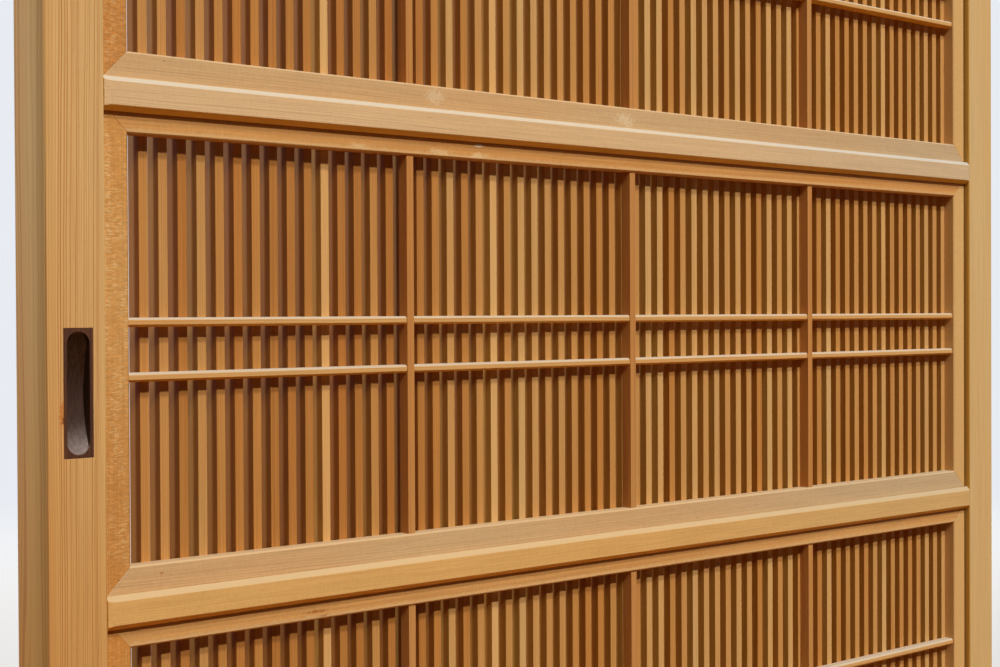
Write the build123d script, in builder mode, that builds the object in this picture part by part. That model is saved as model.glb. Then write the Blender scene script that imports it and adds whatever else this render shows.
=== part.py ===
import os

from build123d import *

os.makedirs("parts", exist_ok=True)

# A sliding lattice screen in its door frame, in millimetres.
# X runs along the tracks, -Y faces the room and +Z is up. The origin is at the
# middle of the frame's underside.

# Door frame: a sill and a head let into two jambs
clear_width = 1770
frame_depth = 105
jamb_thickness = 30
sill_thickness = 40
head_thickness = 40
housing_depth = 5
track_width = 21
sill_track_depth = 3
head_track_depth = 15
strike_depth = 3

# Sliding leaf
leaf_width = 900
leaf_thickness = 36
rest_gap = 65
stile_width = 35
stile_chamfer = 0.8
tongue_thickness = 20
floor_gap = 1.5
head_gap = 6
head_engagement = 8

# Rails, a little proud of the stiles, with broad chamfers and ends eased down to the stiles
bottom_rail_height = 45.2
top_rail_height = 34
rail_height = 18.6
rail_projection = 1
rail_chamfer_height = 2.8
rail_chamfer_depth = 3.8
rail_end_ease = 4
tier_count = 6
tier_height = 264.15
tenon_length = 22
front_tenon_thickness = 8
back_tenon_thickness = 5
tenon_shoulder = 1.5

# Mitred lattice frame in each tier, whose top edge is hidden in the rail above, with an
# open shadow gap beside each stile
member_setback = 4.6
member_width = 14.8
member_depth = 9.9
member_chamfer = 1
member_engagement = 3.2
shadow_gap = 1.8

# Upright and level lattice strips, halved into each other
muntin_count = 3
muntin_width = 5.4
muntin_setback = 1.4
bar_height = 5.2
bar_setback = 1.9
bar_chamfer = 1.3
bar_spacing = 30.5
strip_tenon_length = 4
strip_tenon_shoulder = 1
strip_tenon_depth = 4

# Full-height slats behind the lattice
slat_width = 5.75
slat_depth = 12
slat_pitch = 12.38
slat_housing = 10

# Finger pulls let into both faces of the left stile
pull_width = 17.2
pull_length = 69.4
pull_depth = 11
pull_height = 722
pull_offset = 18.6
recess_width = 13.4
recess_length = 66
recess_depth = 8

# Clearances
running_gap = 0.3
joint_fit = 0.1
member_gap = 0.3

# Places worked out from the sizes above
frame_width = clear_width + 2 * jamb_thickness
clear_left = -clear_width / 2
clear_right = clear_width / 2
sill_top = sill_thickness
leaf_left = clear_left + rest_gap
leaf_right = leaf_left + leaf_width
leaf_centre = (leaf_left + leaf_right) / 2
leaf_front = -leaf_thickness / 2
leaf_back = leaf_thickness / 2
leaf_bottom = sill_top + floor_gap
rails_left = leaf_left + stile_width
rails_right = leaf_right - stile_width
rails_length = rails_right - rails_left
first_tier = leaf_bottom + bottom_rail_height
tier_pitch = tier_height + rail_height
top_rail_bottom = first_tier + tier_count * tier_pitch - rail_height
leaf_top = top_rail_bottom + top_rail_height
leaf_height = leaf_top - leaf_bottom
head_bottom = leaf_top + head_gap
frame_height = head_bottom + head_thickness
bottom_tongue = floor_gap + sill_track_depth - running_gap
top_tongue = head_gap + head_engagement

rail_front = leaf_front - rail_projection
rail_back = leaf_back + rail_projection
member_front = leaf_front + member_setback
slat_front = member_front + member_depth
slat_back = slat_front + slat_depth
slat_middle = (slat_front + slat_back) / 2
rebate_front = member_front - member_gap
rebate_height = member_engagement + member_gap
lattice_height = tier_height + member_engagement
muntin_front = member_front + muntin_setback
bar_front = member_front + bar_setback
halving_plane = (muntin_front + slat_front) / 2
strip_tenon_back = slat_front - (slat_front - bar_front - strip_tenon_depth) / 2

lattice_left = rails_left + shadow_gap
lattice_right = rails_right - shadow_gap
opening_left = lattice_left + member_width
opening_right = lattice_right - member_width
opening_bottom = first_tier + member_width
opening_top = first_tier + lattice_height - member_width
bay_width = (opening_right - opening_left - muntin_count * muntin_width) / (muntin_count + 1)
bar_centre = (opening_bottom + opening_top) / 2
bar_heights = [bar_centre - bar_spacing / 2, bar_centre + bar_spacing / 2]
muntin_centres = [
    opening_left + bay_width / 2 + (i + 0.5) * (bay_width + muntin_width)
    for i in range(muntin_count)
]
slat_count = int((opening_right - opening_left) / slat_pitch) + 1
slat_centres = [leaf_centre + (i - (slat_count - 1) / 2) * slat_pitch for i in range(slat_count)]
rail_bottoms = [first_tier + (i + 1) * tier_pitch - rail_height for i in range(tier_count - 1)]

front_tenon_middle = (rebate_front + slat_front) / 2 - tenon_shoulder
back_tenon_middle = (slat_back + leaf_back) / 2
tenon_bottom = rebate_height + tenon_shoulder
tenon_height = rail_height - tenon_bottom - tenon_shoulder


def export(builder, name):
    """Label a finished piece and write it to its file."""
    builder.part.label = name
    export_step(builder.part, f"parts/{name}.step")


def ease_rail_face(outermost):
    """Chamfer the long edges of a rail's face, 0 for the front and -1 for the back, and
    ease its ends down to the stiles."""
    face = faces().sort_by(Axis.Y)[outermost]
    chamfer(face.edges().filter_by(Axis.X), rail_chamfer_height, rail_chamfer_depth, reference=face)
    face = faces().sort_by(Axis.Y)[outermost]
    chamfer(face.edges().filter_by(Axis.Z), rail_end_ease, rail_projection, reference=face)


# Sill, with a shallow track for the leaf's lower tongue
with BuildPart() as sill:
    with BuildSketch(Plane.YZ.offset(clear_left - housing_depth)) as sill_section:
        with Locations((0, sill_thickness / 2)):
            Rectangle(frame_depth, sill_thickness)
        with Locations((0, sill_top - sill_track_depth / 2)):
            Rectangle(track_width, sill_track_depth, mode=Mode.SUBTRACT)
    extrude(amount=clear_width + 2 * housing_depth)
export(sill, "sill")

# Head, with a deep track so that the leaf can be lifted out
with BuildPart() as head:
    with BuildSketch(Plane.YZ.offset(clear_left - housing_depth)) as head_section:
        with Locations((0, head_bottom + head_thickness / 2)):
            Rectangle(frame_depth, head_thickness)
        with Locations((0, head_bottom + head_track_depth / 2)):
            Rectangle(track_width, head_track_depth, mode=Mode.SUBTRACT)
    extrude(amount=clear_width + 2 * housing_depth)
export(head, "head")

# Jambs, housed for the sill and the head; the left one takes the closed leaf's edge
with BuildPart() as right_jamb:
    with BuildSketch(Plane.XY) as jamb_plan:
        with Locations((clear_right + jamb_thickness / 2, 0)):
            Rectangle(jamb_thickness, frame_depth)
    extrude(amount=frame_height)
    with BuildSketch(Plane.XY) as jamb_housing_plan:
        with Locations((clear_right + housing_depth / 2, 0)):
            Rectangle(housing_depth, frame_depth)
    extrude(amount=sill_thickness, mode=Mode.SUBTRACT)
    with BuildSketch(Plane.XY.offset(head_bottom)) as jamb_head_plan:
        with Locations((clear_right + housing_depth / 2, 0)):
            Rectangle(housing_depth, frame_depth)
    extrude(amount=head_thickness, mode=Mode.SUBTRACT)
export(right_jamb, "right_jamb")

with BuildPart() as left_jamb:
    add(right_jamb.part.mirror(Plane.YZ))
    with BuildSketch(Plane.XY.offset(sill_top)) as strike_plan:
        with Locations((clear_left - strike_depth / 2, 0)):
            Rectangle(strike_depth, leaf_thickness + 2 * running_gap)
    extrude(amount=head_bottom - sill_top, mode=Mode.SUBTRACT)
export(left_jamb, "left_jamb")

# Stiles, with a tongue at each end for the tracks and mortises for every rail
with BuildPart() as right_stile:
    stile_middle = rails_right + stile_width / 2
    with BuildSketch(Plane.XY.offset(leaf_bottom)) as stile_plan:
        with Locations((stile_middle, 0)):
            stile_outline = Rectangle(stile_width, leaf_thickness)
        chamfer(stile_outline.vertices(), stile_chamfer)
    extrude(amount=leaf_height)
    with BuildSketch(Plane.XY.offset(leaf_bottom - bottom_tongue)) as stile_tongue_plan:
        with Locations((stile_middle, 0)):
            Rectangle(stile_width, tongue_thickness)
    extrude(amount=leaf_height + bottom_tongue + top_tongue)
    with BuildSketch(Plane.YZ.offset(rails_right)) as rail_mortises:
        for bottom in rail_bottoms:
            with Locations((front_tenon_middle, bottom + tenon_bottom + tenon_height / 2)):
                Rectangle(front_tenon_thickness + 2 * joint_fit, tenon_height + 2 * joint_fit)
            with Locations((back_tenon_middle, bottom + tenon_bottom + tenon_height / 2)):
                Rectangle(back_tenon_thickness + 2 * joint_fit, tenon_height + 2 * joint_fit)
        for bottom, height in (
            (leaf_bottom, bottom_rail_height),
            (top_rail_bottom, top_rail_height),
        ):
            with Locations((0, bottom + height / 2)):
                Rectangle(front_tenon_thickness + 2 * joint_fit, height / 2 + 2 * joint_fit)
    extrude(amount=tenon_length + joint_fit, mode=Mode.SUBTRACT)
export(right_stile, "right_stile")

# Scooped recess of a finger pull: upright walls, round ends and a floor that is one long arc
with BuildPart() as pull_recess:
    with BuildSketch(Plane.XZ.offset(-leaf_front - pull_depth)) as recess_outline:
        with Locations((leaf_left + pull_offset, leaf_bottom + pull_height)):
            SlotOverall(recess_length, recess_width, rotation=90)
    extrude(amount=pull_depth)
    with BuildSketch(Plane.YZ.offset(leaf_left + pull_offset)) as recess_floor:
        with BuildLine():
            floor_arc = ThreePointArc(
                (leaf_front, leaf_bottom + pull_height - recess_length / 2),
                (leaf_front + recess_depth, leaf_bottom + pull_height),
                (leaf_front, leaf_bottom + pull_height + recess_length / 2),
            )
            Line(floor_arc @ 1, floor_arc @ 0)
        make_face()
    extrude(amount=recess_width, both=True, mode=Mode.INTERSECT)

with BuildPart() as finger_pull_front:
    with BuildSketch(Plane.XZ.offset(-leaf_front - pull_depth)) as pull_outline:
        with Locations((leaf_left + pull_offset, leaf_bottom + pull_height)):
            Rectangle(pull_width, pull_length)
    extrude(amount=pull_depth)
    add(pull_recess.part, mode=Mode.SUBTRACT)
export(finger_pull_front, "finger_pull_front")

with BuildPart() as finger_pull_back:
    add(finger_pull_front.part.mirror(Plane.XZ))
export(finger_pull_back, "finger_pull_back")

with BuildPart() as left_stile:
    add(right_stile.part.mirror(Plane.YZ.offset(leaf_centre)))
    with BuildSketch(Plane.XZ.offset(leaf_back)) as pull_mortises:
        with Locations((leaf_left + pull_offset, leaf_bottom + pull_height)):
            Rectangle(pull_width + 2 * joint_fit, pull_length + 2 * joint_fit)
    extrude(amount=-pull_depth - joint_fit, mode=Mode.SUBTRACT)
    with BuildSketch(Plane.XZ.offset(leaf_front)) as back_pull_mortise:
        with Locations((leaf_left + pull_offset, leaf_bottom + pull_height)):
            Rectangle(pull_width + 2 * joint_fit, pull_length + 2 * joint_fit)
    extrude(amount=pull_depth + joint_fit, mode=Mode.SUBTRACT)
export(left_stile, "left_stile")

# Bottom rail: chamfered faces, tenons, a tongue for the sill and housings for the slats
with BuildPart() as bottom_rail:
    with BuildSketch(Plane.XY.offset(leaf_bottom)) as bottom_rail_plan:
        with Locations((leaf_centre, 0)):
            Rectangle(rails_length, rail_back - rail_front)
    extrude(amount=bottom_rail_height)
    ease_rail_face(0)
    ease_rail_face(-1)
    with BuildSketch(Plane.XY.offset(leaf_bottom - bottom_tongue)) as bottom_tongue_plan:
        with Locations((leaf_centre, 0)):
            Rectangle(rails_length, tongue_thickness)
    extrude(amount=bottom_tongue)
    with BuildSketch(Plane.YZ.offset(rails_left - tenon_length)) as bottom_tenon_section:
        with Locations((0, leaf_bottom + bottom_rail_height / 2)):
            Rectangle(front_tenon_thickness, bottom_rail_height / 2)
    extrude(amount=rails_length + 2 * tenon_length)
    with BuildSketch(Plane.XY.offset(first_tier)) as bottom_slat_housings:
        with Locations((leaf_centre, slat_middle)):
            with GridLocations(slat_pitch, slat_depth, slat_count, 1):
                Rectangle(slat_width + 2 * joint_fit, slat_depth + 2 * joint_fit)
    extrude(amount=-slat_housing - joint_fit, mode=Mode.SUBTRACT)
export(bottom_rail, "bottom_rail")

# Top rail: the same, with a rebate that hides the upper edge of the lattice frame
with BuildPart() as top_rail:
    with BuildSketch(Plane.XY.offset(top_rail_bottom)) as top_rail_plan:
        with Locations((leaf_centre, 0)):
            Rectangle(rails_length, rail_back - rail_front)
    extrude(amount=top_rail_height)
    ease_rail_face(0)
    ease_rail_face(-1)
    with BuildSketch(Plane.XY.offset(leaf_top)) as top_tongue_plan:
        with Locations((leaf_centre, 0)):
            Rectangle(rails_length, tongue_thickness)
    extrude(amount=top_tongue)
    with BuildSketch(Plane.YZ.offset(rails_left - tenon_length)) as top_tenon_section:
        with Locations((0, top_rail_bottom + top_rail_height / 2)):
            Rectangle(front_tenon_thickness, top_rail_height / 2)
    extrude(amount=rails_length + 2 * tenon_length)
    with BuildSketch(Plane.XY.offset(top_rail_bottom)) as top_rebate_plan:
        with Locations((leaf_centre, (rebate_front + slat_front) / 2)):
            Rectangle(rails_length, slat_front - rebate_front)
    extrude(amount=rebate_height, mode=Mode.SUBTRACT)
    with BuildSketch(Plane.XY.offset(top_rail_bottom)) as top_slat_housings:
        with Locations((leaf_centre, slat_middle)):
            with GridLocations(slat_pitch, slat_depth, slat_count, 1):
                Rectangle(slat_width + 2 * joint_fit, slat_depth + 2 * joint_fit)
    extrude(amount=slat_housing + joint_fit, mode=Mode.SUBTRACT)
export(top_rail, "top_rail")

# Middle rails: one in front of the slats and one behind them at each tier line
for number, bottom in enumerate(rail_bottoms, start=1):
    with BuildPart() as middle_rail:
        with BuildSketch(Plane.XY.offset(bottom)) as middle_rail_plan:
            with Locations((leaf_centre, (rail_front + slat_front) / 2)):
                Rectangle(rails_length, slat_front - rail_front)
        extrude(amount=rail_height)
        ease_rail_face(0)
        with BuildSketch(Plane.XY.offset(bottom)) as middle_rebate_plan:
            with Locations((leaf_centre, (rebate_front + slat_front) / 2)):
                Rectangle(rails_length, slat_front - rebate_front)
        extrude(amount=rebate_height, mode=Mode.SUBTRACT)
        with BuildSketch(Plane.YZ.offset(rails_left - tenon_length)) as middle_tenon_section:
            with Locations((front_tenon_middle, bottom + tenon_bottom + tenon_height / 2)):
                Rectangle(front_tenon_thickness, tenon_height)
        extrude(amount=rails_length + 2 * tenon_length)
    export(middle_rail, f"middle_rail_{number}")

    with BuildPart() as back_rail:
        with BuildSketch(Plane.XY.offset(bottom)) as back_rail_plan:
            with Locations((leaf_centre, (slat_back + rail_back) / 2)):
                Rectangle(rails_length, rail_back - slat_back)
        extrude(amount=rail_height)
        ease_rail_face(-1)
        with BuildSketch(Plane.YZ.offset(rails_left - tenon_length)) as back_tenon_section:
            with Locations((back_tenon_middle, bottom + tenon_bottom + tenon_height / 2)):
                Rectangle(back_tenon_thickness, tenon_height)
        extrude(amount=rails_length + 2 * tenon_length)
    export(back_rail, f"back_rail_{number}")

# Lattice frame of the lowest tier: mitred members with a chamfer round the opening and
# small mortises for the strips
with BuildPart() as bottom_member:
    with BuildSketch(Plane.XZ.offset(-slat_front)) as bottom_member_face:
        Polygon(
            (lattice_left, first_tier),
            (lattice_right, first_tier),
            (opening_right, opening_bottom),
            (opening_left, opening_bottom),
            align=None,
        )
    extrude(amount=member_depth)
    inner_arris = edges().filter_by(Axis.X).group_by(Axis.Z)[-1].sort_by(Axis.Y)[0]
    chamfer(inner_arris, member_chamfer)
    with BuildSketch(Plane.XY.offset(opening_bottom)) as bottom_member_mortises:
        for centre in muntin_centres:
            with Locations((centre, strip_tenon_back - strip_tenon_depth / 2)):
                Rectangle(
                    muntin_width - 2 * strip_tenon_shoulder + 2 * joint_fit,
                    strip_tenon_depth + 2 * joint_fit,
                )
    extrude(amount=-strip_tenon_length - joint_fit, mode=Mode.SUBTRACT)

with BuildPart() as top_member:
    with BuildSketch(Plane.XZ.offset(-slat_front)) as top_member_face:
        Polygon(
            (lattice_left, first_tier + lattice_height),
            (opening_left, opening_top),
            (opening_right, opening_top),
            (lattice_right, first_tier + lattice_height),
            align=None,
        )
    extrude(amount=member_depth)
    inner_arris = edges().filter_by(Axis.X).group_by(Axis.Z)[0].sort_by(Axis.Y)[0]
    chamfer(inner_arris, member_chamfer)
    with BuildSketch(Plane.XY.offset(opening_top)) as top_member_mortises:
        for centre in muntin_centres:
            with Locations((centre, strip_tenon_back - strip_tenon_depth / 2)):
                Rectangle(
                    muntin_width - 2 * strip_tenon_shoulder + 2 * joint_fit,
                    strip_tenon_depth + 2 * joint_fit,
                )
    extrude(amount=strip_tenon_length + joint_fit, mode=Mode.SUBTRACT)

with BuildPart() as side_members:
    with BuildSketch(Plane.XZ.offset(-slat_front)) as side_member_face:
        Polygon(
            (lattice_left, first_tier),
            (opening_left, opening_bottom),
            (opening_left, opening_top),
            (lattice_left, first_tier + lattice_height),
            align=None,
        )
    extrude(amount=member_depth)
    inner_arris = edges().filter_by(Axis.Z).group_by(Axis.X)[-1].sort_by(Axis.Y)[0]
    chamfer(inner_arris, member_chamfer)
    with BuildSketch(Plane.YZ.offset(opening_left)) as side_member_mortises:
        for height in bar_heights:
            with Locations((strip_tenon_back - strip_tenon_depth / 2, height)):
                Rectangle(
                    strip_tenon_depth + 2 * joint_fit,
                    bar_height - 2 * strip_tenon_shoulder + 2 * joint_fit,
                )
    extrude(amount=-strip_tenon_length - joint_fit, mode=Mode.SUBTRACT)
    mirror(about=Plane.YZ.offset(leaf_centre))

# Muntin: upright strip with stub tenons, notched from behind for the two bars
with BuildPart() as muntin:
    with BuildSketch(Plane.XY.offset(opening_bottom)) as muntin_plan:
        with Locations((0, (muntin_front + slat_front) / 2)):
            Rectangle(muntin_width, slat_front - muntin_front)
    extrude(amount=opening_top - opening_bottom)
    with BuildSketch(Plane.XY.offset(opening_bottom - strip_tenon_length)) as muntin_tenon_plan:
        with Locations((0, strip_tenon_back - strip_tenon_depth / 2)):
            Rectangle(muntin_width - 2 * strip_tenon_shoulder, strip_tenon_depth)
    extrude(amount=opening_top - opening_bottom + 2 * strip_tenon_length)
    with BuildSketch(Plane.YZ) as muntin_notches:
        for height in bar_heights:
            with Locations(((halving_plane + slat_front) / 2, height)):
                Rectangle(slat_front - halving_plane, bar_height + joint_fit)
    extrude(amount=muntin_width, both=True, mode=Mode.SUBTRACT)

# Bar: level strip with chamfered front edges, notched in front where the muntins pass
with BuildPart() as bar:
    with BuildSketch(Plane.YZ.offset(opening_left)) as bar_section:
        with Locations(((bar_front + slat_front) / 2, 0)):
            bar_outline = Rectangle(slat_front - bar_front, bar_height)
        chamfer(bar_outline.vertices().group_by(Axis.X)[0], bar_chamfer)
    extrude(amount=opening_right - opening_left)
    with BuildSketch(Plane.YZ.offset(opening_left - strip_tenon_length)) as bar_tenon_section:
        with Locations((strip_tenon_back - strip_tenon_depth / 2, 0)):
            Rectangle(strip_tenon_depth, bar_height - 2 * strip_tenon_shoulder)
    extrude(amount=opening_right - opening_left + 2 * strip_tenon_length)
    with BuildSketch(Plane.XY) as bar_notches:
        for centre in muntin_centres:
            with Locations((centre, (bar_front + halving_plane) / 2)):
                Rectangle(muntin_width + joint_fit, halving_plane - bar_front)
    extrude(amount=bar_height, both=True, mode=Mode.SUBTRACT)

# Every tier gets its own frame members, muntins and bars
for tier in range(tier_count):
    rise = tier * tier_pitch
    for member, name in (
        (bottom_member, "bottom_member"),
        (top_member, "top_member"),
        (side_members, "side_members"),
    ):
        with BuildPart() as tier_member:
            with Locations((0, 0, rise)):
                add(member.part)
        export(tier_member, f"tier_{tier + 1}_{name}")

    with BuildPart() as tier_muntins:
        with Locations([(centre, 0, rise) for centre in muntin_centres]):
            add(muntin.part)
    export(tier_muntins, f"tier_{tier + 1}_muntins")

    with BuildPart() as tier_bars:
        with Locations([(0, 0, height + rise) for height in bar_heights]):
            add(bar.part)
    export(tier_bars, f"tier_{tier + 1}_bars")

# Slats run the full height behind the lattice, in one group for each bay. A slat behind a
# muntin goes with the bay on the muntin's right
for bay in range(muntin_count + 1):
    bay_left = opening_left + bay * (bay_width + muntin_width) - muntin_width
    bay_right = bay_left + bay_width + muntin_width
    with BuildPart() as bay_slats:
        with BuildSketch(Plane.XY.offset(first_tier - slat_housing)) as slat_plans:
            for centre in slat_centres:
                if bay_left <= centre < bay_right:
                    with Locations((centre, slat_middle)):
                        Rectangle(slat_width, slat_depth)
        extrude(amount=top_rail_bottom - first_tier + 2 * slat_housing)
    export(bay_slats, f"slats_bay_{bay + 1}")
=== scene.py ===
import math

import bmesh
import bpy
from mathutils import Matrix, Vector


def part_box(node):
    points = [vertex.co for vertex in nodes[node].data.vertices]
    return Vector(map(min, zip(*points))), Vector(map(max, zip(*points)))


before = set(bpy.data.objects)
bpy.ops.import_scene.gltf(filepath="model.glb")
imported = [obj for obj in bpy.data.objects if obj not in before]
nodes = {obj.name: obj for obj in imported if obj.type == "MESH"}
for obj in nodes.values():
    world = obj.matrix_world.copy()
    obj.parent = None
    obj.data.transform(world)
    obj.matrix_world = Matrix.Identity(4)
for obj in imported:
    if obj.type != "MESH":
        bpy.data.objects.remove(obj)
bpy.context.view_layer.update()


# The stiles are the leaf's two uprights, of straight quarter-sawn softwood that is planed and left bare.
# Their growth rings stand on edge, so both faces show fine upright lines. The left stile's outer arris has a
# dark line. Its edge carries painted light, paler than its face and paler still towards the room side, where
# the jamb shades it. A small knot lies beside its pull.
def colour(red, green, blue):
    """A colour as a screen shows it, 0 to 255, turned into the shader's linear values."""
    shares = [channel / 255 for channel in (red, green, blue)]
    return [s / 12.92 if s <= 0.04045 else ((s + 0.055) / 1.055) ** 2.4 for s in shares] + [1]


def feed(tree, socket, value):
    """Links a socket to another, or sets it to a plain value."""
    if isinstance(value, bpy.types.NodeSocket):
        tree.links.new(value, socket)
    else:
        socket.default_value = value


def number(tree, operation, *values):
    """One Math node, fed with sockets or numbers."""
    node = tree.nodes.new("ShaderNodeMath")
    node.operation = operation
    for socket, value in zip(node.inputs, values):
        feed(tree, socket, value)
    return node.outputs["Value"]


def vector(tree, operation, *values):
    """One Vector Math node, fed with sockets or triples."""
    node = tree.nodes.new("ShaderNodeVectorMath")
    node.operation = operation
    for socket, value in zip(node.inputs, values):
        feed(tree, socket, value)
    return node.outputs["Value" if operation == "LENGTH" else "Vector"]


def swells(tree, place, across, along):
    """A place counted in swells of noise: so many for each mm across the grain, and so many along it."""
    return vector(tree, "MULTIPLY", place, (across, across, along))


def noise(tree, place, detail=2.0, roughness=0.5):
    """Smooth noise from 0 to 1 about 0.5, one swell for each unit of place."""
    node = tree.nodes.new("ShaderNodeTexNoise")
    node.inputs["Scale"].default_value = 1.0
    node.inputs["Detail"].default_value = detail
    node.inputs["Roughness"].default_value = roughness
    feed(tree, node.inputs["Vector"], place)
    return node.outputs["Fac"]


def ramp(tree, value, low, high, out_low=0.0, out_high=1.0):
    """Value from low to high becomes out_low to out_high, smoothly and no further."""
    node = tree.nodes.new("ShaderNodeMapRange")
    node.interpolation_type = "SMOOTHSTEP"
    for socket, entry in zip(node.inputs, (value, low, high, out_low, out_high)):
        feed(tree, socket, entry)
    return node.outputs["Result"]


def mixed(tree, share, first, second, blend="MIX"):
    """One colour mixed into another by a share."""
    node = tree.nodes.new("ShaderNodeMix")
    node.data_type = "RGBA"
    node.blend_type = blend
    for name, value in (("Factor_Float", share), ("A_Color", first), ("B_Color", second)):
        feed(tree, next(s for s in node.inputs if s.identifier == name), value)
    return next(s for s in node.outputs if s.identifier == "Result_Color")


def multiplied(tree, first, second):
    """One colour times another."""
    return mixed(tree, 1.0, first, second, "MULTIPLY")


def grey(tree, value):
    """A number as a colour."""
    node = tree.nodes.new("ShaderNodeCombineColor")
    for socket in node.inputs:
        feed(tree, socket, value)
    return node.outputs["Color"]


def apart(tree, place):
    """The X, Y and Z sockets of a place."""
    node = tree.nodes.new("ShaderNodeSeparateXYZ")
    feed(tree, node.inputs["Vector"], place)
    return node.outputs


def effect(name, entries, results):
    """A new node group. Entries and results are (name, kind, default). It gives the tree and both ends."""
    tree = bpy.data.node_groups.new(name, "ShaderNodeTree")
    for way, sockets in (("INPUT", entries), ("OUTPUT", results)):
        for label, kind, default in sockets:
            socket = tree.interface.new_socket(label, in_out=way, socket_type="NodeSocket" + kind)
            socket.default_value = default
    start = tree.nodes.new("NodeGroupInput")
    end = tree.nodes.new("NodeGroupOutput")
    return tree, start.outputs, end.inputs


def placed(tree, group, **entries):
    """A group set into a material, with its inputs fed by name."""
    node = tree.nodes.new("ShaderNodeGroup")
    node.node_tree = group
    for label, value in entries.items():
        feed(tree, node.inputs[label.capitalize()], value)
    return node.outputs


# Growth rings round the Z axis: a pale early part that darkens slowly and ends at a sharp late line. The
# lines sway by some mm along the trunk, and some years are narrow or weak.
growth_rings, entry, result = effect(
    "growth_rings", [("Place", "Vector", (0, 0, 0)), ("Pitch", "Float", 1.8)], [("Late", "Float", 0)])
tree = growth_rings
long_sway, short_sway, unevenness = 12.0, 1.2, 8.0
long_swell = noise(tree, swells(tree, entry["Place"], 0.03, 0.0024), 1.0)
short_swell = noise(tree, swells(tree, entry["Place"], 0.12, 0.012), 1.0)
sway = number(tree, "MULTIPLY_ADD", long_swell, long_sway, number(tree, "MULTIPLY", short_swell, short_sway))
swayed = number(tree, "ADD", sway, vector(tree, "LENGTH", swells(tree, entry["Place"], 1, 0)))
uneven = tree.nodes.new("ShaderNodeTexNoise")
uneven.noise_dimensions = "1D"
uneven.inputs["Scale"].default_value = 0.11
feed(tree, uneven.inputs["W"], swayed)
spread = number(tree, "MULTIPLY_ADD", uneven.outputs["Fac"], unevenness, swayed)
count = number(tree, "DIVIDE", spread, entry["Pitch"])
age = number(tree, "FRACT", count)
late_starts, late_full, late_ends = 0.3, 0.8, 0.86
rising = ramp(tree, age, late_starts, late_full)
falling = ramp(tree, age, late_ends, 1.0, 1.0, 0.0)
year = tree.nodes.new("ShaderNodeTexWhiteNoise")
year.noise_dimensions = "1D"
feed(tree, year.inputs["W"], number(tree, "FLOOR", count))
weakest_year = 0.3
vigour = ramp(tree, year.outputs["Value"], 0.0, 1.0, weakest_year, 1.0)
feed(tree, result["Late"], number(tree, "MULTIPLY", number(tree, "MULTIPLY", rising, falling), vigour))

# Fibres along Z: hair-fine streaks, short dark flecks, and a board's slow change of tone along its length.
fibres, entry, result = effect(
    "fibres", [("Place", "Vector", (0, 0, 0))],
    [("Streak", "Float", 0.5), ("Fleck", "Float", 0), ("Tone", "Float", 0.5)])
tree = fibres
feed(tree, result["Streak"], noise(tree, swells(tree, entry["Place"], 1.1, 0.016), 3.0, 0.7))
dash = noise(tree, swells(tree, entry["Place"], 1.6, 0.16), 1.0)
feed(tree, result["Fleck"], ramp(tree, dash, 0.66, 0.76))
slow = noise(tree, swells(tree, entry["Place"], 0.03, 0.004))
feed(tree, result["Tone"], ramp(tree, slow, 0.3, 0.7))

# Curl: where the fibres wave in and out of a face, short wavy bands cross the grain, and in patches some of
# them are pale glints.
curl, entry, result = effect(
    "curl", [("Place", "Vector", (0, 0, 0))], [("Ripple", "Float", 0.5), ("Glint", "Float", 0)])
tree = curl
bend = noise(tree, swells(tree, entry["Place"], 0.22, 0.07), 1.0)
lift = tree.nodes.new("ShaderNodeCombineXYZ")
feed(tree, lift.inputs["Z"], number(tree, "MULTIPLY", bend, 2.4))
bands = vector(tree, "ADD", swells(tree, entry["Place"], 0.20, 0.80), lift.outputs["Vector"])
feed(tree, result["Ripple"], ramp(tree, noise(tree, bands, 3.0, 0.7), 0.32, 0.68))
lesser_lift = swells(tree, lift.outputs["Vector"], 1, 0.4)
narrow_bands = vector(tree, "ADD", swells(tree, entry["Place"], 0.25, 1.3), lesser_lift)
glinting = ramp(tree, noise(tree, narrow_bands, 1.0), 0.51, 0.62)
patch = ramp(tree, noise(tree, swells(tree, entry["Place"], 0.10, 0.045), 1.0), 0.36, 0.6)
feed(tree, result["Glint"], number(tree, "MULTIPLY", patch, glinting))

# Board number: a random share and shift for each board of a row, from where it stands along one line.
board_number, entry, result = effect(
    "board_number", [("Line", "Float", 0), ("First", "Float", 0), ("Step", "Float", 1)],
    [("Share", "Float", 0.5), ("Shift", "Vector", (0, 0, 0))])
tree = board_number
along = number(tree, "DIVIDE", number(tree, "SUBTRACT", entry["Line"], entry["First"]), entry["Step"])
draw = tree.nodes.new("ShaderNodeTexWhiteNoise")
draw.noise_dimensions = "1D"
feed(tree, draw.inputs["W"], number(tree, "ROUND", along))
feed(tree, result["Share"], draw.outputs["Value"])
widest_shift = (80, 80, 400)
feed(tree, result["Shift"], vector(tree, "MULTIPLY", draw.outputs["Color"], widest_shift))

# Painted light by the way a face looks: tops take a painted pale sheen, undersides a painted warm bounce
# light, and the faces that look along the tracks a painted tone of their own, mostly shade.
painted_facing_light, entry, result = effect(
    "painted_facing_light", [("Facing", "Vector", (0, -1, 0))],
    [("Top", "Float", 0), ("Under", "Float", 0), ("Side", "Float", 0)])
tree = painted_facing_light
facing = apart(tree, entry["Facing"])
feed(tree, result["Top"], ramp(tree, facing["Z"], 0.35, 0.7))
feed(tree, result["Under"], ramp(tree, facing["Z"], -0.7, -0.35, 1.0, 0.0))
feed(tree, result["Side"], ramp(tree, number(tree, "ABSOLUTE", facing["X"]), 0.5, 0.8))

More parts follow.
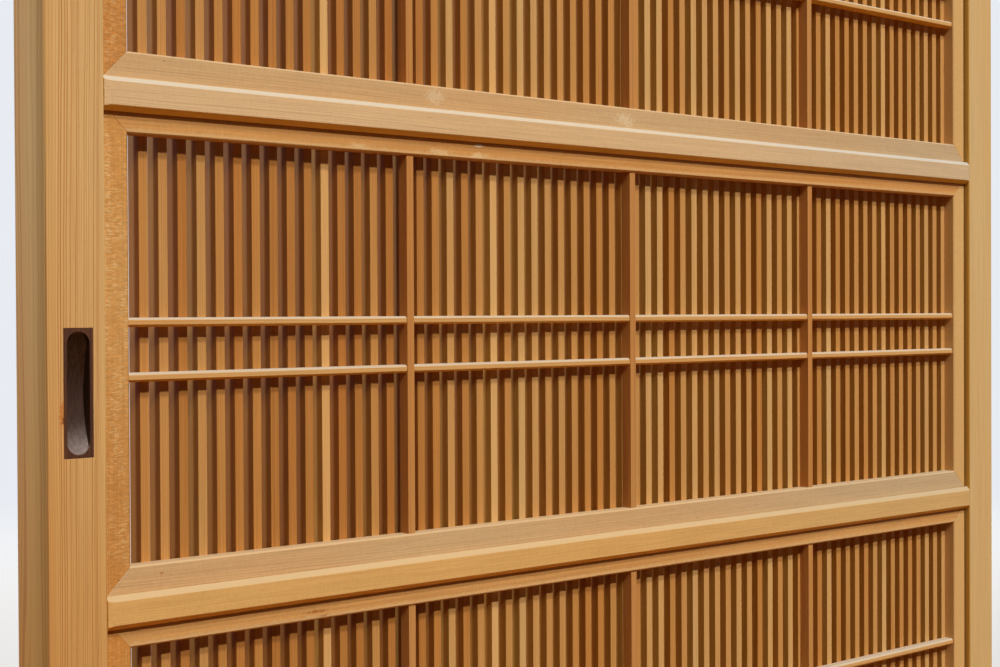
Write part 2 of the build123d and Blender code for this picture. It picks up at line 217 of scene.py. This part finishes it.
# Stain: one soft ragged spot, such as a knot, a scuff or a pin's head.
stain, entry, result = effect(
    "stain",
    [("Place", "Vector", (0, 0, 0)), ("Centre", "Vector", (0, 0, 0)), ("Reach", "Vector", (1, 1, 1))],
    [("Mask", "Float", 0)])
tree = stain
ragged = noise(tree, swells(tree, entry["Place"], 0.4, 0.6), 4.0, 0.75)
off = vector(tree, "DIVIDE", vector(tree, "SUBTRACT", entry["Place"], entry["Centre"]), entry["Reach"])
edge = number(tree, "MULTIPLY_ADD", ragged, 3.4, vector(tree, "LENGTH", off))
feed(tree, result["Mask"], ramp(tree, edge, 2.0, 2.7, 1.0, 0.0))

grain_turn = {"upright": (0, 0, 0), "level": (0, -math.pi / 2, 0)}
grain_relief = 0.0002
# Painted light: a warm bounce light on undersides, and shade on the faces that look along the tracks.
painted_under_light = (1.78, 1.54, 0.58, 1)
painted_side_shade = (0.92, 0.80, 0.38, 1)
glint_tone = colour(226, 194, 140)


def softwood(name, early, late, lay, pith, warm=(1.0, 0.88, 0.74, 1), pitch=1.8, rings=0.6, ripple=0.0,
             glint=0.0, rough=0.55, row=None, painted_side_tone=painted_side_shade, top_sheen=0.6,
             top_sheen_tone=(190, 164, 126)):
    """A planed softwood.

    Early and late are the two colours of a growth ring, pitch is its width in mm, and rings how strongly it
    shows. Lay says how the grain runs, and pith where the tree's middle lies in mm. Warm is laid over the
    wood in places. Undersides take a painted warm bounce light. The side tone is laid over the faces that
    look along the tracks as painted shade, and as painted light where it is paler. The top share is how far
    the faces that look up take the top tone, a painted sheen. Ripple and glint are how strongly the two
    kinds of curl show. Row is (axis, first, step) of the boards in one node. Where each board has a colour
    of its own, early is a function that gives it, and late is multiplied with it.
    """
    material = bpy.data.materials.new(name)
    material.use_nodes = True
    tree = material.node_tree
    shader = tree.nodes["Principled BSDF"]
    shader.inputs["Specular IOR Level"].default_value = 0.15
    surface = tree.nodes.new("ShaderNodeTexCoord")
    in_mm = vector(tree, "MULTIPLY", surface.outputs["Object"], (1000, 1000, 1000))
    in_mm.node.name = "place in mm"
    turned = tree.nodes.new("ShaderNodeMapping")
    turned.inputs["Rotation"].default_value = grain_turn[lay]
    turned.inputs["Location"].default_value = [-value for value in pith]
    feed(tree, turned.inputs["Vector"], in_mm)
    place = turned.outputs["Vector"]
    if row:
        axis, first, step = row
        board = placed(tree, board_number, line=apart(tree, in_mm)[axis], first=first, step=step)
        place = vector(tree, "ADD", place, board["Shift"])
    if callable(early):
        early = early(tree, in_mm, board["Share"])
        late = multiplied(tree, early, late)
    ring = placed(tree, growth_rings, place=place, pitch=pitch)
    fibre = placed(tree, fibres, place=place)
    body = mixed(tree, number(tree, "MULTIPLY", ring["Late"], rings), early, late)
    body = mixed(tree, fibre["Tone"], body, multiplied(tree, body, warm))
    height = number(tree, "MULTIPLY_ADD", ring["Late"], 0.6, number(tree, "MULTIPLY", fibre["Streak"], 0.5))
    if ripple:
        figure = placed(tree, curl, place=place)
        shade = ramp(tree, figure["Ripple"], 0.0, 1.0, 1.0 - ripple, 1.0 + 0.6 * ripple)
        body = multiplied(tree, body, grey(tree, shade))
        body = mixed(tree, number(tree, "MULTIPLY", figure["Glint"], glint), body, glint_tone)
        height = number(tree, "MULTIPLY_ADD", figure["Ripple"], 2 * ripple, height)
    streaked = ramp(tree, fibre["Streak"], 0.25, 0.75, 0.91, 1.08)
    flecked = ramp(tree, fibre["Fleck"], 0.0, 1.0, 1.0, 0.88)
    body = multiplied(tree, body, grey(tree, number(tree, "MULTIPLY", streaked, flecked)))
    # Painted warm bounce light on undersides, a painted side tone on the faces along the tracks, and a
    # painted sheen on tops.
    facing_light = placed(tree, painted_facing_light, facing=surface.outputs["Normal"])
    body = mixed(tree, facing_light["Under"], body, multiplied(tree, body, painted_under_light))
    body = mixed(tree, facing_light["Side"], body, multiplied(tree, body, painted_side_tone))
    body = mixed(tree, number(tree, "MULTIPLY", facing_light["Top"], top_sheen), body, colour(*top_sheen_tone))
    feed(tree, shader.inputs["Base Color"], body)
    feed(tree, shader.inputs["Roughness"], ramp(tree, fibre["Streak"], 0.2, 0.8, rough - 0.06, rough + 0.08))
    bump = tree.nodes.new("ShaderNodeBump")
    bump.inputs["Strength"].default_value = 0.35
    bump.inputs["Distance"].default_value = grain_relief
    feed(tree, bump.inputs["Height"], height)
    feed(tree, shader.inputs["Normal"], bump.outputs["Normal"])
    return material


def place_on(material):
    """Where a point of a wood's surface lies, in mm."""
    return material.node_tree.nodes["place in mm"].outputs["Vector"]


def layered(material, mask, tone, blend="MIX"):
    """Lays a tone over a wood's colour by a mask."""
    tree = material.node_tree
    base = tree.nodes["Principled BSDF"].inputs["Base Color"]
    feed(tree, base, mixed(tree, mask, base.links[0].from_socket, tone, blend))


def marked(material, centre, reach, tone, strength):
    """Adds one mark to a wood: its middle and its reach in mm, its tone and how strong it is."""
    tree = material.node_tree
    spot = placed(tree, stain, place=place_on(material), centre=centre, reach=reach)
    layered(material, number(tree, "MULTIPLY", spot["Mask"], strength), tone)


def finished(name, material, eased=0.00025):
    """Gives a node its wood, and eases its arrises as a block plane does."""
    piece = nodes[name]
    piece.material_slots[0].material = material
    joined = piece.modifiers.new("joined", "WELD")
    joined.merge_threshold = 0.00001
    arris = piece.modifiers.new("arris", "BEVEL")
    arris.width = eased
    arris.segments = 2
    arris.limit_method = "ANGLE"
    arris.angle_limit = math.radians(40)


# Its edge's side tone is painted light, paler and cooler than the face.
left_stile_wood = softwood("left_stile_wood", colour(210, 170, 112), colour(168, 105, 48), "upright",
                           (-990, 60, 0), pitch=1.18, rings=0.88, warm=(1.0, 0.94, 0.88, 1),
                           painted_side_tone=(1.30, 1.52, 1.5, 1))
tree = left_stile_wood.node_tree
place = apart(tree, place_on(left_stile_wood))
stile_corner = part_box("left_stile")[0] * 1000
plain_width, plain_fade = 4, 3
plain_edge = stile_corner.x + plain_width
layered(left_stile_wood, ramp(tree, place["X"], plain_edge, plain_edge + plain_fade, 0.55, 0.0),
        colour(202, 154, 92))
reddest_height, plain_height = 560, 900
layered(left_stile_wood, ramp(tree, place["Z"], reddest_height, plain_height, 0.75, 0.0),
        (0.87, 0.66, 0.42, 1), "MULTIPLY")
edge_face = ramp(tree, place["X"], stile_corner.x + 0.2, stile_corner.x + 0.5, 1.0, 0.0)
# Painted light on the edge near the room side, where the jamb's shade falls.
painted_light_depth = 28
painted_front_light = ramp(tree, place["Y"], stile_corner.y, stile_corner.y + painted_light_depth, 1.0, 0.0)
layered(left_stile_wood, number(tree, "MULTIPLY", edge_face, painted_front_light), (1.06, 1.26, 1.38, 1), "MULTIPLY")
# A dark line along the outer arris, strongest up to a little above the pull and fainter higher up.
arris_line = stile_corner.x + stile_corner.y + 0.55
inwards = number(tree, "ADD", place["X"], place["Y"])
at_arris = ramp(tree, inwards, arris_line + 0.1, arris_line + 0.5, 1.0, 0.0)
darkest_below, faintest_above = 820, 960
arris_darkening = ramp(tree, place["Z"], darkest_below, faintest_above, 0.85, 0.45)
layered(left_stile_wood, number(tree, "MULTIPLY", arris_darkening, at_arris), colour(104, 52, 30))
pull_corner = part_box("finger_pull_front")[0] * 1000
knot_x, knot_z = pull_corner.x - 1, pull_corner.z + 23.2
marked(left_stile_wood, (knot_x, stile_corner.y, knot_z), (2.2, 3, 9), colour(186, 112, 48), 0.8)
marked(left_stile_wood, (knot_x + 0.6, stile_corner.y, knot_z - 3), (0.9, 2, 2.2), colour(110, 56, 28), 0.8)
right_stile_wood = softwood("right_stile_wood", colour(204, 170, 117), colour(189, 147, 89), "upright",
                            (300, 90, 0), pitch=2.1, rings=0.3, warm=(1.0, 0.93, 0.84, 1))
finished("left_stile", left_stile_wood, eased=0.0003)
finished("right_stile", right_stile_wood, eased=0.0003)

# The rails run from stile to stile, of the same softwood with a tighter, paler face: a top and a bottom
# rail with tongues for the tracks, and five middle rails tenoned in, proud of the stiles, with a plain rail
# behind each of them.
rail_tones = ((212, 170, 118), (213, 164, 98), (213, 176, 130), (212, 168, 112), (208, 166, 116))
# Each rail's chamfer tone is the painted sheen of its tops and chamfers.
chamfer_sheen_tones = ((193, 170, 132), (190, 163, 122), (192, 182, 162), (194, 174, 142), (193, 172, 138))
pith_step = 283  # about the rise of a tier, so that each rail's grain is its own
# Painted light: level woods turn greyer towards the right, for the light's falloff and the pale backdrop's
# reflection.
right_cooling_tone = (0.88, 0.96, 1.10, 1)
warm_end, grey_end = -450, 60


def painted_right_cooling(material):
    """Paints light on a level wood: greyer along the leaf's right half, for the light's falloff there and
    for the pale backdrop that its faces reflect.
    """
    along = apart(material.node_tree, place_on(material))["X"]
    layered(material, ramp(material.node_tree, along, warm_end, grey_end), right_cooling_tone, "MULTIPLY")


for count, (tone, chamfer_sheen_tone) in enumerate(zip(rail_tones, chamfer_sheen_tones), start=1):
    late_tone = [0.9 * channel for channel in tone]
    rail_wood = softwood(f"rail_wood_{count}", colour(*tone), colour(*late_tone), "level",
                         (-pith_step * count - 150, 70 + 5 * count, 300 * count), warm=(0.98, 0.95, 0.92, 1),
                         pitch=1.2, rings=0.42, ripple=0.03, glint=0.05, rough=0.45, top_sheen=0.9,
                         top_sheen_tone=chamfer_sheen_tone)
    painted_right_cooling(rail_wood)
    finished(f"middle_rail_{count}", rail_wood)
    finished(f"back_rail_{count}", rail_wood)
end_rail_wood = softwood("end_rail_wood", colour(208, 168, 114), colour(184, 136, 80), "level",
                         (-60, 260, 0), warm=(1.0, 0.9, 0.78, 1), pitch=2.4, ripple=0.05)
finished("top_rail", end_rail_wood, eased=0.0003)
finished("bottom_rail", end_rail_wood, eased=0.0003)

# Each tier's lattice stands in a light frame of four members, mitred at the corners and held in the rails'
# rebates. The left uprights have a rippled figure, most from the third tier up, and the others are plain.
# The frames are pinned at a few mitres, and years of dusting have scuffed the upper members.
members_low, members_high = (corner * 1000 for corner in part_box("tier_1_side_members"))
member_width, lattice_face = 14.8, members_low.y
first_upright = members_low.x + member_width / 2
upright_span = members_high.x - members_low.x - member_width
resin, scuff, filler = colour(150, 84, 38), colour(222, 188, 138), colour(238, 224, 196)
pin_rust, rust_stain, pin_head = colour(92, 52, 30), colour(168, 92, 50), colour(92, 60, 40)
rubbed, glue_stain = colour(226, 204, 168), colour(160, 104, 56)
marks = {
    2: (("top", (-645, 627), (9, 4, 1.1), resin, 0.7),
        ("top", (-640, 624), (6, 4, 0.8), resin, 0.6)),
    3: (("top", (-610, 908), (9, 4, 2.4), scuff, 0.6),
        ("top", (-547, 908), (12, 4, 2.4), scuff, 0.6),
        ("top", (-515, 907.6), (9, 4, 2.6), scuff, 0.7),
        ("top", (-515, 914), (4.6, 4, 1.1), filler, 1.0),
        ("side", (-775.7, 660), (1.0, 3, 1.1), pin_rust, 0.9),
        ("bottom", (-749.4, 661.2), (2.0, 3, 0.8), rust_stain, 0.7)),
    4: (("bottom", (-745.8, 946.6), (0.8, 3, 0.8), pin_head, 0.9),
        ("bottom", (-551, 942.7), (9, 4, 6), rubbed, 0.4),
        ("bottom", (-379, 940.8), (11, 4, 5), rubbed, 0.45),
        ("side", (-777, 941), (3.0, 4, 2.4), glue_stain, 0.5)),
}
for tier in range(1, 7):
    bottom_wood = softwood(f"bottom_member_wood_{tier}", colour(200, 163, 117), colour(186, 146, 98),
                           "level", (-pith_step * tier - 90, 80, 170 * tier), warm=(1.0, 0.93, 0.86, 1),
                           pitch=1.5, rings=0.3, ripple=0.03, glint=0.05)
    painted_right_cooling(bottom_wood)

    upper_tone = (206, 150, 86) if tier % 2 else (206, 154, 92)
    late_tone = [0.88 * channel for channel in upper_tone]
    top_wood = softwood(f"top_member_wood_{tier}", colour(*upper_tone), colour(*late_tone), "level",
                        (-pith_step * tier - 400, 60, 210 * tier), warm=(0.98, 0.88, 0.76, 1), pitch=1.6,
                        rings=0.5, ripple=0.04, glint=0.06)
    tree = top_wood.node_tree
    low_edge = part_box(f"tier_{tier}_top_member")[0].z * 1000
    worn_width, worn_raggedness = 1.8, 4.0
    fleck = noise(tree, swells(tree, place_on(top_wood), 0.35, 0.9), 2.0)
    above = number(tree, "MULTIPLY_ADD", fleck, -worn_raggedness, apart(tree, place_on(top_wood))["Z"])
    worn = ramp(tree, above, low_edge - 0.2, low_edge + worn_width, 0.5, 0.0)
    layered(top_wood, worn, colour(216, 178, 126))

    curly = tier > 2
    upright_tone = (204, 151, 86) if curly else (196, 132, 63)
    late_tone = [0.9 * channel for channel in upright_tone]
    figured = 1.0 if curly else 0.35
    side_wood = softwood(f"side_member_wood_{tier}", colour(*upright_tone), colour(*late_tone), "upright",
                         (-900, 50 + 8 * tier, 130 * tier), warm=(0.98, 0.86, 0.70, 1), pitch=2.2,
                         rings=0.25, ripple=0.15 * figured, glint=0.55 * figured,
                         row=("X", first_upright, upright_span))
    tree = side_wood.node_tree
    place = apart(tree, place_on(side_wood))
    if curly:
        red_from, red_to = low_edge - 200, low_edge - 70
        redder = ramp(tree, place["Z"], red_from, red_to, 0.8, 0.0)
        layered(side_wood, redder, (0.86, 0.73, 0.60, 1), "MULTIPLY")
    left_upright_ends, right_upright_starts = -600, -200
    at_right = ramp(tree, place["X"], left_upright_ends, right_upright_starts, 0.0, 0.8)
    layered(side_wood, at_right, colour(208, 167, 107))

    woods = {"bottom": bottom_wood, "top": top_wood, "side": side_wood}
    for member, (across, height), reach, tone, strength in marks.get(tier, ()):
        marked(woods[member], (across, lattice_face, height), reach, tone, strength)
    finished(f"tier_{tier}_bottom_member", bottom_wood)
    finished(f"tier_{tier}_top_member", top_wood)
    finished(f"tier_{tier}_side_members", side_wood)

# Three muntins and two bars cross in halving joints inside each lattice frame. They are thin strips planed
# from straight boards, the bars with a chamfer along both front edges.
muntins_low, muntins_high = (corner * 1000 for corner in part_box("tier_1_muntins"))
muntin_width = 5.4
muntin_step = (muntins_high.x - muntins_low.x - muntin_width) / 2
# The muntins' sides take a lighter painted shade than the common one.
muntin_wood = softwood("muntin_wood", colour(188, 134, 76), colour(167, 109, 56), "upright", (0, 70, 0),
                       warm=(1.0, 0.9, 0.78, 1), pitch=1.5, rings=0.5, painted_side_tone=(1.0, 0.92, 0.75, 1),
                       row=("X", muntins_low.x + muntin_width / 2, muntin_step))
bars_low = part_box("tier_1_bars")[0].z * 1000
next_bars_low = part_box("tier_2_bars")[0].z * 1000
bar_height = 5.2
bar_step = (next_bars_low - bars_low) / 9  # near enough to the rise from bar to bar for each to count as one
# The bars' pale tops are a painted sheen.
bar_wood = softwood("bar_wood", colour(206, 158, 98), colour(184, 130, 72), "level", (-90, 60, 0),
                    warm=(1.0, 0.93, 0.85, 1), pitch=1.3, rings=0.5,
                    row=("Z", bars_low + bar_height / 2, bar_step), top_sheen=0.85, top_sheen_tone=(184, 172, 152))
for tier in range(1, 7):
    finished(f"tier_{tier}_muntins", muntin_wood, eased=0.0002)
    finished(f"tier_{tier}_bars", bar_wood, eased=0.0002)

# The slats stand behind the lattice over the leaf's full height, 65 of them, from many boards, so that each
# has a tone of its own. The deeper ones are mostly at the left, and two are of pale sapwood.
middle_slat, slat_step = -370, 12.38
slat_tones = [colour(*tone) for tone in (
    (175, 118, 58), (181, 124, 63), (185, 130, 68), (188, 136, 75), (192, 143, 84), (196, 151, 93),
    (201, 160, 103),
)]
sapwood_slats, sapwood_tone = (-21, -10), colour(216, 174, 114)
deep_end, pale_end = -620, -420
chance_share = 0.66
slat_reach = 4


def slat_tone(tree, place, share):
    """Each slat's own colour, deeper towards the left of the leaf, and two slats of pale sapwood."""
    stops = tree.nodes.new("ShaderNodeValToRGB")
    stops.color_ramp.interpolation = "CONSTANT"
    elements = stops.color_ramp.elements
    while len(elements) < len(slat_tones):
        elements.new(1.0)
    for order, (element, tone) in enumerate(zip(elements, slat_tones)):
        element.position = order / len(slat_tones)
        element.color = tone
    along = apart(tree, place)["X"]
    paler = ramp(tree, along, deep_end, pale_end, 0.0, 1 - chance_share)
    feed(tree, stops.inputs["Fac"], number(tree, "MULTIPLY_ADD", share, chance_share, paler))
    body = stops.outputs["Color"]
    for order in sapwood_slats:
        off = number(tree, "ABSOLUTE", number(tree, "SUBTRACT", along, middle_slat + order * slat_step))
        body = mixed(tree, ramp(tree, off, slat_reach, slat_reach + 1, 0.85, 0.0), body, sapwood_tone)
    return body


# The slats' sides take the common painted shade.
slat_wood = softwood("slat_wood", slat_tone, (0.84, 0.74, 0.62, 1), "upright", (0, 60, 0),
                     warm=(1.0, 0.9, 0.8, 1), pitch=1.4, rings=0.7, row=("X", middle_slat, slat_step))
for bay in range(1, 5):
    finished(f"slats_bay_{bay}", slat_wood, eased=0.0002)

# The finger pulls are small blocks of a dark close-grained hardwood let flush into the left stile, one in
# each face, with a scooped recess that fingers have polished. Painted shade darkens the recess, and its
# foot, where it looks up, is paler with dust and a painted sheen.
pull_wood = bpy.data.materials.new("pull_wood")
pull_wood.use_nodes = True
tree = pull_wood.node_tree
shader = tree.nodes["Principled BSDF"]
shader.inputs["Specular IOR Level"].default_value = 0.25
where = tree.nodes.new("ShaderNodeTexCoord").outputs["Object"]
in_mm = vector(tree, "MULTIPLY", where, (1000, 1000, 1000))
grain = noise(tree, swells(tree, in_mm, 1.1, 0.03), 3.0, 0.65)
streak = ramp(tree, grain, 0.38, 0.62)
flat_tone = mixed(tree, streak, colour(64, 35, 18), colour(88, 50, 25))
recess_shade_tone = mixed(tree, streak, colour(31, 17, 8), colour(41, 23, 11))
dust_and_sheen_tone = mixed(tree, streak, colour(100, 84, 76), colour(124, 108, 100))
place = apart(tree, in_mm)
from_middle = number(tree, "ABSOLUTE", place["Y"])
# Painted shade, deeper in the recess.
painted_recess_shade = ramp(tree, from_middle, -pull_corner.y - 1.2, -pull_corner.y - 0.3, 0.75, 0.0)
# Dust and a painted sheen on the foot, where it looks up.
foot_low, foot_high = pull_corner.z + 2, pull_corner.z + 26
foot = ramp(tree, place["Z"], foot_low, foot_high, 1.0, 0.0)
true_facing = tree.nodes.new("ShaderNodeNewGeometry").outputs["True Normal"]
facing_up = ramp(tree, apart(tree, true_facing)["Z"], 0.12, 0.42)
dust_and_sheen = number(tree, "MULTIPLY", number(tree, "MULTIPLY", foot, facing_up), 0.9)
hardwood_tone = mixed(tree, painted_recess_shade, flat_tone, recess_shade_tone)
feed(tree, shader.inputs["Base Color"], mixed(tree, dust_and_sheen, hardwood_tone, dust_and_sheen_tone))
feed(tree, shader.inputs["Roughness"], ramp(tree, streak, 0.0, 1.0, 0.36, 0.5))
pore = tree.nodes.new("ShaderNodeBump")
pore.inputs["Strength"].default_value = 0.3
pore.inputs["Distance"].default_value = grain_relief
feed(tree, pore.inputs["Height"], grain)
feed(tree, shader.inputs["Normal"], pore.outputs["Normal"])
finished("finger_pull_front", pull_wood, eased=0.0001)
finished("finger_pull_back", pull_wood, eased=0.0001)

# The door frame is a sill, a head and two jambs of the same softwood in heavier stuff, built into the wall
# opening. The tracks in the sill and head are ploughed.
jamb_middles = [sum(corner.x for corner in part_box(name)) * 500 for name in ("left_jamb", "right_jamb")]
# The jambs' sides take a light painted shade.
jamb_wood = softwood("jamb_wood", colour(202, 158, 104), colour(176, 126, 72), "upright", (-1100, 120, 0),
                     warm=(1.0, 0.9, 0.8, 1), pitch=2.6, painted_side_tone=(0.98, 0.92, 0.84, 1),
                     row=("X", jamb_middles[0], jamb_middles[1] - jamb_middles[0]))
# The sill's top takes a little painted sheen.
sill_wood = softwood("sill_wood", colour(200, 156, 102), colour(174, 124, 72), "level", (60, 180, 0),
                     warm=(1.0, 0.9, 0.8, 1), pitch=3.0, rings=0.7, top_sheen=0.2)
head_wood = softwood("head_wood", colour(204, 160, 106), colour(178, 130, 76), "level", (-1950, 200, 300),
                     warm=(1.0, 0.9, 0.8, 1), pitch=3.0)
finished("sill", sill_wood, eased=0.0006)
finished("head", head_wood, eased=0.0006)
finished("left_jamb", jamb_wood, eased=0.0006)
finished("right_jamb", jamb_wood, eased=0.0006)

# The floor is a pale disc that fades out at its rim into the backdrop, which is the world's own colour. Only
# the camera sees it pale: the light that it throws back at the leaf comes from a darker, warmer tone.
backdrop = colour(232, 236, 242)
fade_start, fade_end, floor_radius = 3.0, 6.7, 7.0
floor_mesh = bmesh.new()
bmesh.ops.create_circle(floor_mesh, cap_ends=True, segments=96, radius=floor_radius)
floor_data = bpy.data.meshes.new("floor")
floor_mesh.to_mesh(floor_data)
floor_mesh.free()
floor = bpy.data.objects.new("floor", floor_data)
bpy.context.scene.collection.objects.link(floor)
floor_paint = bpy.data.materials.new("floor_paint")
floor_paint.use_nodes = True
tree = floor_paint.node_tree
shader = tree.nodes["Principled BSDF"]
shader.inputs["Roughness"].default_value = 0.9
shader.inputs["Specular IOR Level"].default_value = 0.0
path = tree.nodes.new("ShaderNodeLightPath")
floor_tone = mixed(tree, path.outputs["Is Camera Ray"], colour(114, 77, 41), colour(206, 205, 205))
feed(tree, shader.inputs["Base Color"], floor_tone)
away = vector(tree, "LENGTH", tree.nodes.new("ShaderNodeTexCoord").outputs["Object"])
feed(tree, shader.inputs["Alpha"], ramp(tree, away, fade_start, fade_end, 1.0, 0.0))
floor_data.materials.append(floor_paint)

# The world shows the backdrop to the camera and in reflections, and gives almost no other light.
world = bpy.data.worlds.new("studio")
bpy.context.scene.world = world
world.use_nodes = True
tree = world.node_tree
backing = tree.nodes["Background"]
path = tree.nodes.new("ShaderNodeLightPath")
seen = number(tree, "MAXIMUM", path.outputs["Is Camera Ray"], path.outputs["Is Transmission Ray"])
seen = number(tree, "MAXIMUM", seen, path.outputs["Is Glossy Ray"])
ambient = (0.012, 0.009, 0.006, 1)
feed(tree, backing.inputs["Color"], mixed(tree, seen, ambient, backdrop))
backing.inputs["Strength"].default_value = 1.0


# The light comes from above and in front: two hard-edged lamps about 10 degrees apart in height, so that
# the shadows of the bars and rails fall on the slats in two steps. A broad soft lamp hangs overhead, and two
# soft ones stand at the rear, the left one cooler.
def sun(name, azimuth, elevation, strength, spread, tint):
    """Parallel light from a direction: azimuth from the room side towards +X, elevation above the floor."""
    lamp = bpy.data.lights.new(name, "SUN")
    lamp.energy = strength
    lamp.angle = math.radians(spread)
    lamp.color = tint
    holder = bpy.data.objects.new(name, lamp)
    bpy.context.scene.collection.objects.link(holder)
    around = Matrix.Rotation(math.radians(azimuth), 4, "Z")
    down = Matrix.Rotation(math.radians(90 - elevation), 4, "X")
    holder.matrix_world = around @ down


def softbox(name, place, aim, width, power, tint):
    """A square lamp at a place, turned towards an aim."""
    lamp = bpy.data.lights.new(name, "AREA")
    lamp.shape = "SQUARE"
    lamp.size = width
    lamp.energy = power
    lamp.color = tint
    holder = bpy.data.objects.new(name, lamp)
    bpy.context.scene.collection.objects.link(holder)
    facing = (Vector(aim) - Vector(place)).to_track_quat("-Z", "Y").to_matrix().to_4x4()
    holder.matrix_world = Matrix.Translation(place) @ facing
    holder.visible_camera = False


warm_white = (1.0, 0.97, 0.92)
cool_white = (0.93, 0.96, 1.0)
daylight = (0.86, 0.97, 1.0)
sun("high_lamp", azimuth=-10, elevation=52, strength=1.56, spread=4, tint=warm_white)
sun("low_lamp", azimuth=-10, elevation=42.5, strength=2.04, spread=2, tint=warm_white)
softbox("overhead", (0.1, -1.3, 3.0), aim=(-0.4, 0.0, 0.9), width=1.6, power=19, tint=cool_white)
softbox("rear_left", (-5.76, 4.77, 1.95), aim=(-0.6, 0.0, 0.9), width=1.1, power=172, tint=daylight)
softbox("rear_right", (4.3, 5.5, 3.4), aim=(0.0, 0.0, 0.9), width=3.4, power=275, tint=cool_white)

# The camera stands at the left of the leaf, a little above its pull, and looks along it to the right. Its
# place, turn and lens are fitted to the leaf's edges as the photo shows them.
eye = Vector((-1.2185, -0.8300, 0.8043))
yaw, pitch, roll = 41.4585, -0.6475, -0.2835
camera_data = bpy.data.cameras.new("camera")
camera_data.sensor_width = 36.0
camera_data.lens = 59.70
camera_data.clip_start = 0.01
camera = bpy.data.objects.new("camera", camera_data)
bpy.context.scene.collection.objects.link(camera)
camera.matrix_world = (
    Matrix.Translation(eye)
    @ Matrix.Rotation(math.radians(-yaw), 4, "Z")
    @ Matrix.Rotation(math.radians(90 + pitch), 4, "X")
    @ Matrix.Rotation(math.radians(roll), 4, "Z")
)
bpy.context.scene.camera = camera
bpy.context.scene.view_settings.view_transform = "Standard"
